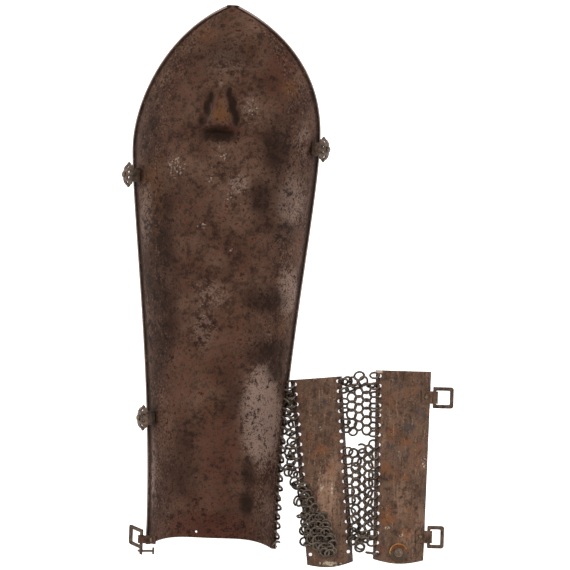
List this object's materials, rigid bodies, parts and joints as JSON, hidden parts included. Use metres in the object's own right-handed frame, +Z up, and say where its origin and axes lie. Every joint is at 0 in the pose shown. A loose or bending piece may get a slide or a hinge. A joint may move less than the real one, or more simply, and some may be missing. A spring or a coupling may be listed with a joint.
{
  "type": "arm guard",
  "caption": "Iron forearm guard: gutter plate with a pointed, bossed elbow end, narrow wrist plates joined by mail, strap rosettes and buckles",
  "frame": {"origin": "the middle of the footprint, on the surface that the guard lies on", "axes": "+Z up, +Y along the main plate from its wrist end to its point, +X from the main plate towards the wrist plates"},
  "size_m": [0.2186, 0.3576, 0.0542],
  "materials": {
    "iron_plate": "forged iron, brown patina with rust",
    "wrist_iron": "forged iron, orange-brown rust",
    "mail_iron": "dark iron wire",
    "fitting_iron": "dark forged iron",
    "washer_brass": "tarnished brass"
  },
  "bodies": {
    "guard": {"main_plate": "iron_plate", "inner_wrist_plate": "wrist_iron", "outer_wrist_plate": "wrist_iron", "mail_outer_upper": "mail_iron", "mail_outer_lower": "mail_iron", "mail_inner_joined": "mail_iron", "mail_inner_heap": "mail_iron", "mail_edge_row": "mail_iron", "hand_washer": "washer_brass", "upper_left_collar": "fitting_iron", "upper_left_rosette": "fitting_iron", "upper_left_rivet": "fitting_iron", "upper_right_collar": "fitting_iron", "upper_right_rosette": "fitting_iron", "upper_right_rivet": "fitting_iron", "middle_left_collar": "fitting_iron", "middle_left_rosette": "fitting_iron", "middle_left_rivet": "fitting_iron", "main_buckle_clip": "fitting_iron", "main_buckle_rivet": "fitting_iron", "upper_buckle_clip": "fitting_iron", "upper_buckle_rivet": "fitting_iron", "lower_buckle_clip": "fitting_iron", "lower_buckle_rivet": "fitting_iron", "main_buckle_pin": "fitting_iron", "hand_rivet": "fitting_iron"},
    "main_frame": {"main_buckle_frame": "fitting_iron"},
    "upper_frame": {"upper_buckle_frame": "fitting_iron"},
    "lower_frame": {"lower_buckle_frame": "fitting_iron"}
  },
  "joints": [
    {"name": "main_buckle_swing", "type": "hinge", "parent": "guard", "child": "main_frame", "pos_m": [-0.08798, -0.16508, 0.00525], "axis": [0, 1, 0], "range_deg": [0, 120]},
    {"name": "upper_buckle_swing", "type": "hinge", "parent": "guard", "child": "upper_frame", "pos_m": [0.09683, -0.06721, 0.00255], "axis": [0.0087, -1, 0], "range_deg": [0, 140]},
    {"name": "lower_buckle_swing", "type": "hinge", "parent": "guard", "child": "lower_frame", "pos_m": [0.09644, -0.15691, 0.00255], "axis": [0.0087, -1, 0], "range_deg": [0, 140]}
  ]
}
